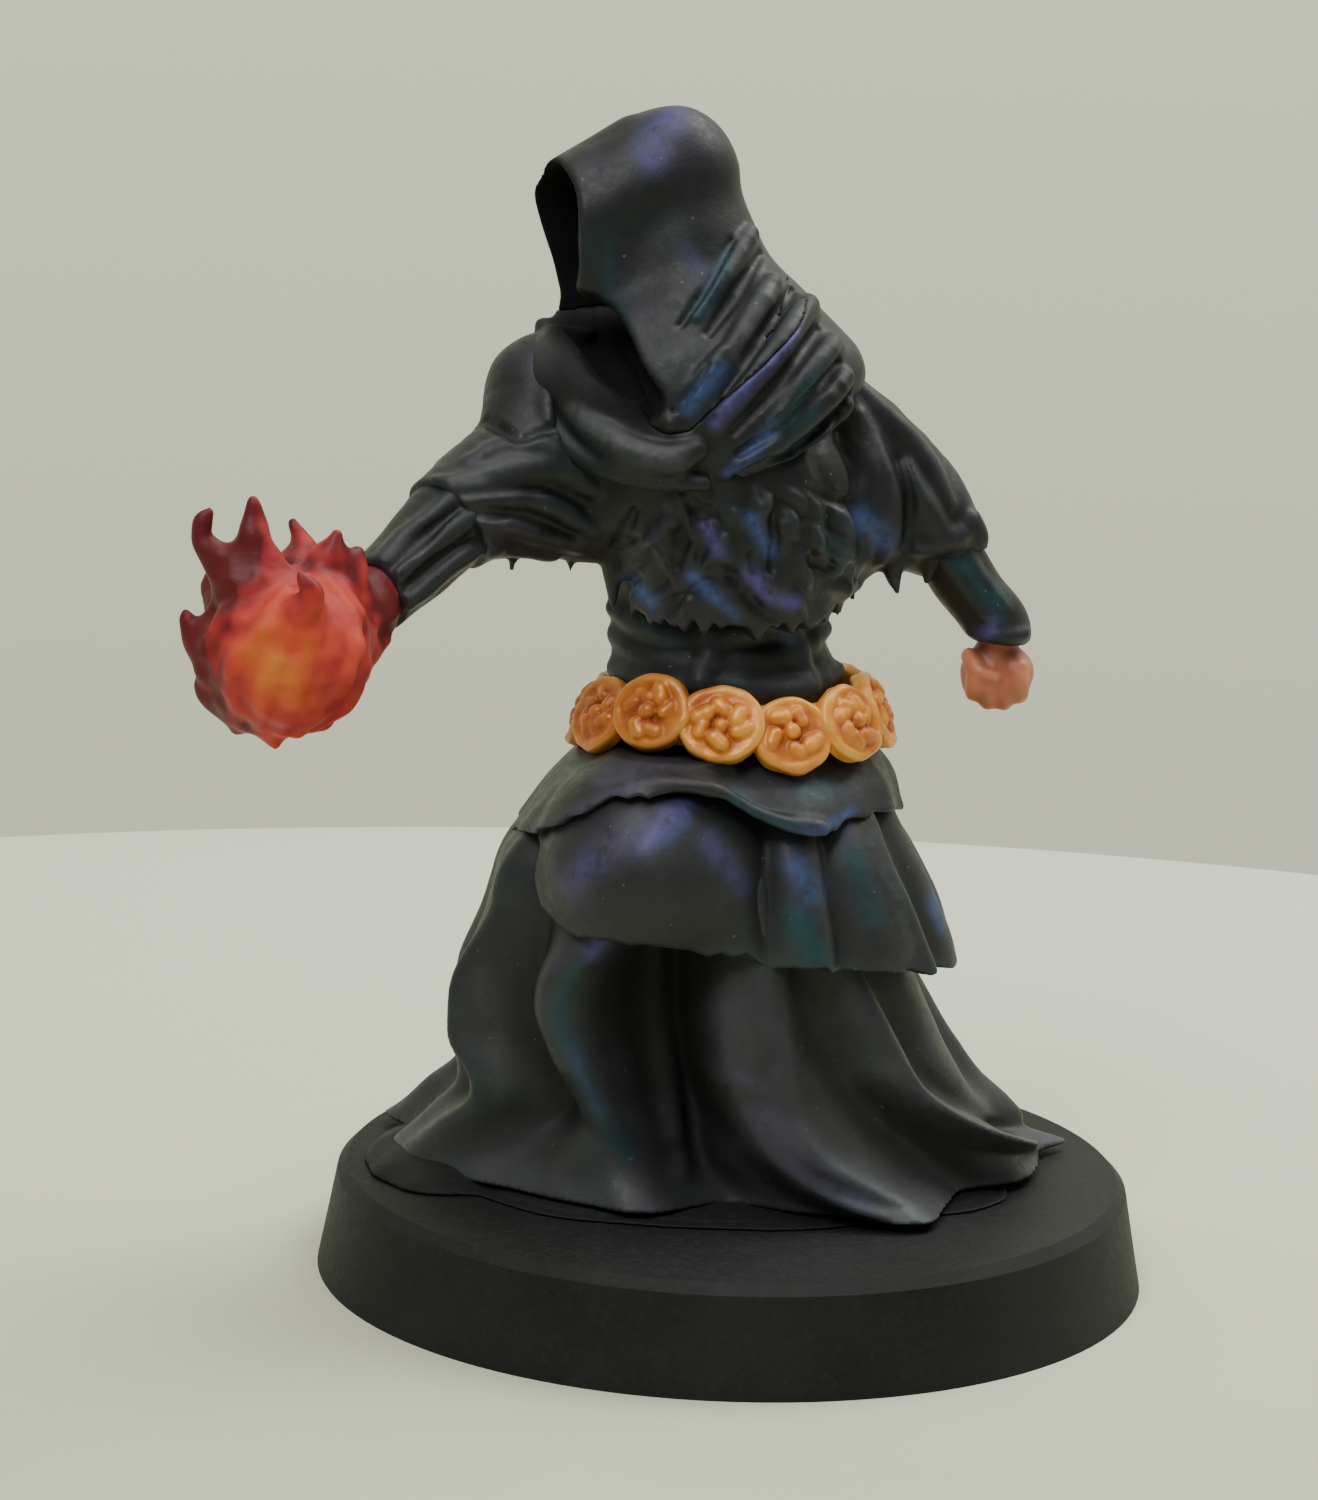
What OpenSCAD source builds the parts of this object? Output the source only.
// Hooded spell-caster miniature on a round slotted base.
// Millimetres, +Z up, origin at the centre of the base's standing face, front of the figure towards -Y.
// "Right" and "left" in the names are the figure's own: its right arm reaches towards -X.

/* [Base] */
// Diameter of the base where it stands
base_d = 25; // [24.5:0.5:26]
// Diameter of the base's top face
base_top_d = 23.9; // [23.5:0.1:24.2]
// Height of the base
base_h = 3.2; // [3:0.1:3.4]
// Thickness of the base's top plate
base_plate = 1; // [0.8:0.1:1.2]
// Width of the ring that the base stands on
base_rim = 1.2; // [1:0.1:1.6]
// Length of the slot across the base
slot_l = 16; // [14:0.5:17]
// Width of the slot
slot_w = 1.6; // [1.4:0.1:2]

/* [Cloth] */
// Thickness of the overlapping cloth layers
cloth_t = 0.5; // [0.4:0.05:0.55]
// Length of the teeth in the mantle's torn hem
tatter = 0.7; // [0:0.1:1]

/* [Belt] */
// Number of medallions round the belt
medallions = 12; // [10:1:12]
// Diameter of a medallion
medallion_d = 2.05; // [1.8:0.05:2.05]
// Thickness of a medallion
medallion_t = 0.6; // [0.4:0.1:0.8]

/* [Joints] */
// Radius of the pegs under the robe and at the waist
waist_peg_r = 1.4; // [1:0.1:1.6]
// Radius of the neck peg
neck_peg_r = 0.9; // [0.7:0.1:1]
// Radius of the shoulder pegs
shoulder_peg_r = 0.6; // [0.4:0.1:0.7]
// Radius of the wrist pegs
wrist_peg_r = 0.45; // [0.3:0.05:0.5]
// Glue gap round every peg
glue_gap = 0.05; // [0.03:0.01:0.08]

/* [Hidden] */
MEDALLIONS = [for (i = [1 : medallions]) str("medallion_", i < 10 ? "0" : "", i)];

robe_black = [0.14, 0.14, 0.15];
base_grey = [0.2, 0.2, 0.2];
gold = [0.87, 0.58, 0.22];
flesh = [0.86, 0.5, 0.36];
flame_red = [0.78, 0.2, 0.14];

eps = 0.01;       // overlap that makes two shapes of one piece join
ring_sides = 40;  // sides of every cloth ring
limb_fn = 20;     // facets of the arms and other small round forms
blob_fn = 32;     // facets of the hood and head
exact_fn = 64;    // facets shown on pegs, sockets and turned parts

// Heights where one piece stands on the next.
disc_top = base_h + 0.4;
waist_z = 16;
hood_z = 29.5;

// A ring of cloth: height, centre x, centre y, half width, half depth, depth of the folds.
disc_rings = [
    [base_h, -0.3, -0.2, 10.2, 7.4, 0.03],
    [disc_top, -0.3, -0.2, 9.9, 7.1, 0.03]
];
robe_rings = [
    [disc_top, -0.4, -0.2, 9.7, 6.8, 0.05],
    [4.7, -0.7, -0.2, 8.7, 6.3, 0.07],
    [6.5, -0.7, -0.5, 7.4, 5.7, 0.08],
    [8.8, -1.3, -0.9, 6.6, 5.2, 0.05],
    [9.8, -1.1, -1.0, 6.0, 4.8, 0.02],
    [12.0, -0.9, -1.1, 5.1, 4.7, 0],
    [14.0, -0.8, -0.7, 4.2, 3.8, 0],
    [waist_z, -0.5, -0.1, 3.5, 2.95, 0]
];
tunic_rings = [
    [9.6, -0.9, -1.0, 7.3, 6.1, 0.05],
    [12.0, -0.9, -1.2, 6.3, 5.7, 0.04],
    [14.0, -0.85, -0.8, 5.0, 4.6, 0.01],
    [15.3, -0.6, -0.2, 4.4, 3.95, 0]
];
drape_rings = [
    [13.7, -0.9, -0.8, 5.9, 5.7, 0.01],
    [15.0, -0.7, -0.4, 5.3, 5.0, 0.01],
    [15.5, -0.6, -0.2, 5.0, 4.7, 0],
    [15.95, -0.5, -0.1, 4.4, 3.8, 0]
];
torso_rings = [
    [waist_z, -0.5, -0.1, 3.5, 2.95, 0],
    [18.1, -0.5, -0.1, 3.5, 2.95, 0],
    [19.3, -0.9, 0, 3.3, 2.4, 0.02],
    [21.5, -1.1, 0, 3.5, 2.5, 0.02],
    [24.0, -1.3, 0, 4.0, 2.5, 0],
    [25.6, -2.0, 0.1, 4.1, 2.1, 0],
    [26.8, -2.3, 0.2, 2.1, 1.6, 0]
];

// A ring round the shoulders: centre x, centre y, half width, half depth,
// then its height at the right arm, front, left arm and back.
mantle_rings = [
    [-1.3, -0.6, 7.9, 4.3, [25.0, 20.7, 22.8, 20.5]],
    [-1.7, -0.5, 7.0, 3.9, [25.9, 23.0, 24.9, 23.5]],
    [-2.4, -0.1, 5.3, 3.2, [27.3, 25.7, 27.2, 26.8]],
    [-2.6, 0.3, 2.7, 2.4, [28.1, 27.5, 28.3, 28.3]]
];
mantle_drop = 0.3;
cowl_t = 0.9;
cowl_rings = [
    [-2.5, -0.4, 4.1, 3.9, [28.3, 26.2, 28.4, 28.5]],
    [-2.5, -0.4, 4.3, 4.1, [28.7, 26.9, 28.9, 28.9]],
    [-2.5, -0.1, 3.7, 3.4, [29.3, 27.6, 29.3, 29.4]]
];

// The belt is an ellipse, level. Its medallions hang at heights of their own, front one first and then
// round by the figure's left side.
belt_c = [-0.5, -0.1];
belt_r = [4.05, 3.5];
belt_z = [16.75, 17.95];
belt_t = 0.45;
medallion_z = [17.5, 17.2, 17.4, 17.45, 17.4, 17.3, 17.2, 17.1, 17.05, 17.05, 17.3, 17.7];
medallion_turn = -5;
medallion_even = 2;

// Where the arms bend and join.
neck = [-2.3, 0.2, 26.8];
shoulder_mid = [-2, 0, 24.4];
right_shoulder = [-6.6, -1.0, 24.2];
right_elbow = [-8.9, -3.5, 23.5];
right_wrist = [-10.6, -6.5, 21.7];
fire_c = [-13.0, -9.0, 20.5];
left_shoulder = [3.9, 0.8, 24.5];
left_elbow = [5.9, 1.3, 22.6];
left_wrist = [7.4, 1.0, 19.6];

// Round forms, each a list of [point, radius].
hood_form = [
    [[-2.5, 0.3, 32.4], 2.6], [[-5.1, -0.2, 31.5], 1.6], [[-4.2, -0.3, 30.6], 1.7], [[-1.3, 0.5, 31.2], 2.1]
];
hood_mouth = [
    [[-9, -0.3, 31.7], 1.1], [[-9, -0.3, 30.2], 1.1], [[-4.6, -0.3, 31.7], 1.1], [[-4.6, -0.3, 30.2], 1.1]
];
head_form = [[[-2.8, 0, 31.8], 1.4], [[-3.9, -0.1, 31.6], 1], [[-4.1, -0.1, 30.7], 0.6]];
right_arm = [[right_shoulder, 1.2], [right_elbow, 1.25], [right_wrist, 1.1]];
left_arm = [[left_shoulder, 1.1], [left_elbow, 1.15], [left_wrist, 0.95]];
fist_form = [
    [left_wrist + [-0.5, 0, -0.7], 0.7], [left_wrist + [0.4, 0, -0.7], 0.7],
    [left_wrist + [-0.4, -0.2, -1.6], 0.6], [left_wrist + [0.3, -0.2, -1.6], 0.6]
];
fire_core = [[fire_c, 2.5], [right_wrist, 1.0]];
flames = [
    [[fire_c + [-0.8, -0.2, 1.6], 1.0], [fire_c + [-1.2, -0.4, 3.2], 0.4], [fire_c + [-1.1, -0.4, 4.0], 0.12]],
    [[fire_c + [-1.4, 0, 1.6], 0.7], [fire_c + [-2.4, 0.1, 3.5], 0.2]],
    [[fire_c + [1.0, 0.4, 1.6], 0.9], [fire_c + [1.4, 0.4, 3.0], 0.15]],
    [[fire_c + [-1.8, -0.4, -0.4], 0.8], [fire_c + [-3.0, -0.5, 0.5], 0.15]]
];

// ---- helpers ----

// The points of one ring of cloth, with soft folds round it.
function fold_ring(r, folds, grow = 0) =
    [for (i = [0 : ring_sides - 1])
        let (a = 360 * i / ring_sides, k = 1 + r[5] * cos(folds * a + 40))
        [r[1] + (r[3] + grow) * k * cos(a), r[2] + (r[4] + grow) * k * sin(a), r[0]]];

function fold_rings(rings, folds, grow = 0) = [for (r = rings) fold_ring(r, folds, grow)];

// Height at angle a of a ring that is tilted over the shoulders.
function tilted_z(h, a) =
    (cos(a) < 0 ? h[0] : h[2]) * pow(cos(a), 2) + (sin(a) < 0 ? h[1] : h[3]) * pow(sin(a), 2);

// Length of the i-th tooth of a torn hem, as a share of the longest.
function tooth(i) = i % 3 == 0 ? 1 : i % 3 == 1 ? 0.3 : 0;

function tilted_ring(r, grow = 0, drop = 0, teeth = 0) =
    [for (i = [0 : ring_sides - 1])
        let (a = 360 * i / ring_sides)
        [r[0] + (r[2] + grow) * cos(a), r[1] + (r[3] + grow) * sin(a),
            tilted_z(r[4], a) - drop - teeth * tooth(i)]];

function sum_of(ring, k, i = 0) = i == len(ring) ? 0 : ring[i][k] + sum_of(ring, k, i + 1);
function centre_of(ring) = [for (k = [0 : 2]) sum_of(ring, k) / len(ring)];

// Side faces between two rings of n points that start at points lo and hi.
function wall(lo, hi, n) =
    [for (i = [0 : n - 1]) let (j = (i + 1) % n)
        each [[lo + i, hi + i, hi + j], [lo + i, hi + j, lo + j]]];

// A closed solid through a stack of rings, lowest first.
module loft(rings) {
    n = len(rings[0]);
    last = len(rings) - 1;
    low_centre = n * len(rings);
    polyhedron(
        points = concat([for (r = rings) each r], [centre_of(rings[0]), centre_of(rings[last])]),
        faces = concat(
            [for (k = [0 : last - 1]) each wall(k * n, (k + 1) * n, n)],
            [for (i = [0 : n - 1]) [low_centre, i, (i + 1) % n]],
            [for (i = [0 : n - 1]) [low_centre + 1, last * n + (i + 1) % n, last * n + i]]));
}

// A closed shell between an outer and an inner stack of rings, lowest first.
module shell(outer, inner) {
    n = len(outer[0]);
    m = len(outer);
    polyhedron(
        points = concat([for (r = outer) each r], [for (k = [m - 1 : -1 : 0]) each inner[k]]),
        faces = [for (k = [0 : 2 * m - 1]) each wall(k * n, ((k + 1) % (2 * m)) * n, n)]);
}

// One rounded form over all the stations of a list.
module blob(stations, grow = 0, fn = limb_fn) {
    hull()
        for (s = stations)
            translate(s[0]) sphere(r = s[1] + grow, $fn = fn);
}

// A limb that runs from station to station.
module limb(stations, grow = 0) {
    for (i = [0 : len(stations) - 2])
        blob([stations[i], stations[i + 1]], grow);
}

// Turns +Z to point along direction d.
module aim(d) {
    rotate([0, acos(d.z / norm(d)), atan2(d.y, d.x)]) children();
}

// A round peg, or the socket for one, from point p along direction d.
module peg(p, d, r, length) {
    translate(p) aim(d) cylinder(r = r, h = length, $fn = exact_fn);
}

// Everything near p that lies beyond the plane through p facing direction d.
module beyond(p, d) {
    reach = 3;
    translate(p) aim(d) cylinder(r = reach, h = reach + 1, $fn = exact_fn);
}

// ---- sub-parts ----

module base_slot() {
    cube([slot_l, slot_w, 3 * base_h], center = true);
}

// Moulded plastic base with a hollow underside, and a rib on each side of its slot.
module base() {
    recess_r = base_d / 2 - base_rim;
    recess_draft = 0.5;
    bevel = 0.3;
    rib_t = 0.8;
    rib_gap = 0.1;
    rib_z = 1;
    under_z = base_h - base_plate;
    color(base_grey) difference() {
        union() {
            rotate_extrude($fn = exact_fn)
                polygon([[0, under_z], [0, base_h], [base_top_d / 2 - bevel, base_h],
                    [base_top_d / 2, base_h - bevel], [base_d / 2, 0], [recess_r, 0],
                    [recess_r - recess_draft, under_z]]);
            for (side = [-1, 1])
                translate([0, side * (slot_w / 2 + rib_gap + rib_t / 2), (rib_z + under_z + eps) / 2])
                    cube([slot_l, rib_t, under_z + eps - rib_z], center = true);
        }
        base_slot();
    }
}

// Thin cast ground under the figure, with the tab that stands in the base's slot.
module ground_disc() {
    tab_z = 0.6;
    tab_play = 0.1;
    color(robe_black) {
        loft(fold_rings(disc_rings, 5));
        translate([-slot_l / 2 + tab_play, -slot_w / 2 + tab_play, tab_z])
            cube([slot_l - 2 * tab_play, slot_w - 2 * tab_play, base_h - tab_z + eps]);
        peg([0, 0, base_h + eps], [0, 0, 1], waist_peg_r, 2.4);
    }
}

module lower_robe() {
    color(robe_black) difference() {
        loft(fold_rings(robe_rings, 9));
        peg([belt_c.x, belt_c.y, waist_z + eps], [0, 0, -1], waist_peg_r + glue_gap, 2.8);
        peg([0, 0, disc_top - eps], [0, 0, 1], waist_peg_r + glue_gap, 2.2);
    }
}

// Open-bottomed skirt of the tunic, worn over the robe.
module tunic_skirt() {
    color(robe_black) shell(fold_rings(tunic_rings, 9), fold_rings(tunic_rings, 9, -cloth_t));
}

// Short cloth over the hips, gathered in under the belt.
module hip_drape() {
    color(robe_black) shell(fold_rings(drape_rings, 7), fold_rings(drape_rings, 7, -cloth_t));
}

module torso() {
    right_d = right_shoulder - shoulder_mid;
    left_d = left_shoulder - shoulder_mid;
    shoulder_bore = 6;
    color(robe_black) {
        difference() {
            loft(fold_rings(torso_rings, 6));
            peg(neck + [0, 0, eps], [0, 0, -1], neck_peg_r + glue_gap, 1.5);
            peg(shoulder_mid + right_d / 3, right_d, shoulder_peg_r + glue_gap, shoulder_bore);
            peg(shoulder_mid + left_d / 3, left_d, shoulder_peg_r + glue_gap, shoulder_bore);
        }
        peg([belt_c.x, belt_c.y, waist_z + eps], [0, 0, -1], waist_peg_r, 2.6);
    }
}

module belt_strap() {
    rings = [for (z = belt_z) [z, belt_c.x, belt_c.y, belt_r.x, belt_r.y, 0]];
    color(gold) shell(fold_rings(rings, 1), fold_rings(rings, 1, -belt_t));
}

// Round cast medallion with a raised rim and a cluster of bosses, standing on the strap.
module medallion(i) {
    r = medallion_d / 2;
    rim = 0.25;
    edge = 0.15;
    floor_t = medallion_t - 0.2;
    boss_r = 0.2;
    boss_ring_r = 0.48;
    bosses = 6;
    s = 360 * (i - 1) / medallions + medallion_turn;
    a = s - medallion_even * sin(2 * s);
    place = [belt_c.x + (belt_r.x + glue_gap) * sin(a), belt_c.y - (belt_r.y + glue_gap) * cos(a),
        medallion_z[i - 1]];
    out = [belt_r.y * sin(a), -belt_r.x * cos(a), 0];
    color(gold) translate(place) aim(out) {
        rotate_extrude($fn = exact_fn)
            polygon([[0, 0], [r - edge, 0], [r, medallion_t / 2], [r - edge / 2, medallion_t],
                [r - rim, medallion_t], [r - rim - edge, floor_t], [0, floor_t]]);
        translate([0, 0, floor_t]) sphere(r = boss_r, $fn = limb_fn);
        for (k = [1 : bosses])
            rotate(360 * k / bosses) translate([boss_ring_r, 0, floor_t]) sphere(r = boss_r, $fn = limb_fn);
    }
}

// Torn cape over both shoulders, cleared for the arms that pass beneath it.
module mantle() {
    arm_gap = 0.15;
    hem = mantle_rings[0];
    body = [for (k = [1 : len(mantle_rings) - 1]) mantle_rings[k]];
    color(robe_black) difference() {
        shell(
            concat([tilted_ring(hem, 0, 0, tatter)], [for (r = body) tilted_ring(r)]),
            concat([tilted_ring(hem, -cloth_t, mantle_drop, tatter)],
                [for (r = body) tilted_ring(r, -cloth_t, mantle_drop)]));
        limb(right_arm, arm_gap);
        limb(left_arm, arm_gap);
    }
}

// Thick rolled collar round the neck.
module cowl() {
    color(robe_black)
        shell([for (r = cowl_rings) tilted_ring(r)], [for (r = cowl_rings) tilted_ring(r, -cowl_t)]);
}

// Hollow hood, open at the face and cut level where it meets the collar.
module hood() {
    color(robe_black) difference() {
        blob(hood_form, 0, blob_fn);
        blob(hood_form, -cloth_t, blob_fn);
        blob(hood_mouth);
        translate([-10, -6, hood_z - 10]) cube([20, 12, 10]);
        peg([neck.x, neck.y, hood_z - 1], [0, 0, 1], neck_peg_r + glue_gap, 2);
    }
}

module head() {
    peg_in = 1.4;
    color(flesh) {
        blob(head_form, 0, blob_fn);
        peg(neck - [0, 0, peg_in], [0, 0, 1], neck_peg_r, head_form[0][0].z - neck.z + peg_in);
    }
}

module right_sleeve() {
    inward = shoulder_mid - right_shoulder;
    outward = fire_c - right_wrist;
    color(robe_black) difference() {
        union() {
            limb(right_arm);
            peg(right_shoulder, inward, shoulder_peg_r, 2.9);
        }
        beyond(right_wrist, outward);
        peg(right_wrist + eps * outward, -outward, wrist_peg_r + glue_gap, 1.3);
    }
}

module left_sleeve() {
    inward = shoulder_mid - left_shoulder;
    color(robe_black) difference() {
        union() {
            limb(left_arm);
            peg(left_shoulder, inward, shoulder_peg_r, 3.6);
        }
        beyond(left_wrist, [0, 0, -1]);
        peg(left_wrist - [0, 0, eps], [0, 0, 1], wrist_peg_r + glue_gap, 1.3);
    }
}

module left_fist() {
    color(flesh) {
        difference() {
            blob(fist_form);
            beyond(left_wrist, [0, 0, 1]);
        }
        peg(left_wrist - [0, 0, 0.6], [0, 0, 1], wrist_peg_r, 1.8);
    }
}

// Ball of flame that grows from the end of the sleeve.
module fireball() {
    inward = right_wrist - fire_c;
    color(flame_red) {
        difference() {
            union() {
                limb(fire_core);
                for (f = flames) limb(f);
            }
            beyond(right_wrist, inward);
        }
        peg(right_wrist - 0.2 * inward, inward, wrist_peg_r, 1.9);
    }
}

base();
ground_disc();
lower_robe();
tunic_skirt();
hip_drape();
torso();
belt_strap();
mantle();
cowl();
hood();
head();
right_sleeve();
left_sleeve();
left_fist();
fireball();
for (i = [1 : medallions])
    medallion(i);
